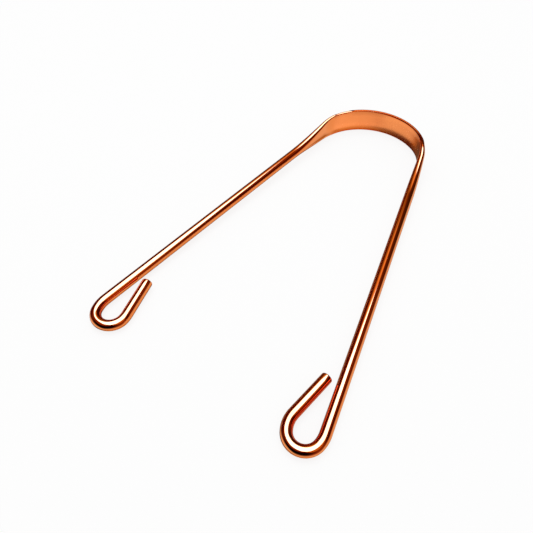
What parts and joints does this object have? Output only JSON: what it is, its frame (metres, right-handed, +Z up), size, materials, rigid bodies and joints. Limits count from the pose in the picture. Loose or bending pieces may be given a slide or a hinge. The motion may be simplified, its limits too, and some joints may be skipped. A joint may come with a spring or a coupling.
{
  "type": "tongue scraper",
  "caption": "U-shaped copper wire tongue scraper: a flattened, arched scraping band between two splayed round arms that end in open teardrop loops.",
  "frame": {"origin": "middle of the footprint at the level of the surface that it rests on", "axes": "+Z up, +Y from the loops to the crown of the arch, +X to the right arm; the wire's plane is tilted 1.34 degrees about X, as the part rests on the band's lower rim and its loops"},
  "size_m": [0.071, 0.1262, 0.0085],
  "materials": {
    "pressed_copper_band": "satin copper, pressed flat and smooth",
    "polished_copper_wire": "polished bare copper"
  },
  "bodies": {
    "band": {"scraping_band": "pressed_copper_band"},
    "left_arm": {"left_band_shoulder": "pressed_copper_band", "left_neck": "polished_copper_wire", "left_handle_rod": "polished_copper_wire", "left_loop_entry": "polished_copper_wire", "left_loop_curl": "polished_copper_wire", "left_loop_exit": "polished_copper_wire", "left_loop_leg": "polished_copper_wire", "left_wire_tip": "polished_copper_wire"},
    "right_arm": {"right_band_shoulder": "pressed_copper_band", "right_neck": "polished_copper_wire", "right_handle_rod": "polished_copper_wire", "right_loop_entry": "polished_copper_wire", "right_loop_curl": "polished_copper_wire", "right_loop_exit": "polished_copper_wire", "right_loop_leg": "polished_copper_wire", "right_wire_tip": "polished_copper_wire"}
  },
  "joints": [
    {"name": "left_arm_flex", "type": "hinge", "parent": "band", "child": "left_arm", "pos_m": [-0.01346, 0.05702, 0.00427], "axis": [0, -0.0233, 0.9997], "range_deg": [-5, 5], "stiffness_Nm_per_rad": 2.7},
    {"name": "right_arm_flex", "type": "hinge", "parent": "band", "child": "right_arm", "pos_m": [0.013, 0.05702, 0.00427], "axis": [0, 0.0233, -0.9997], "range_deg": [-5, 5], "stiffness_Nm_per_rad": 2.7}
  ]
}
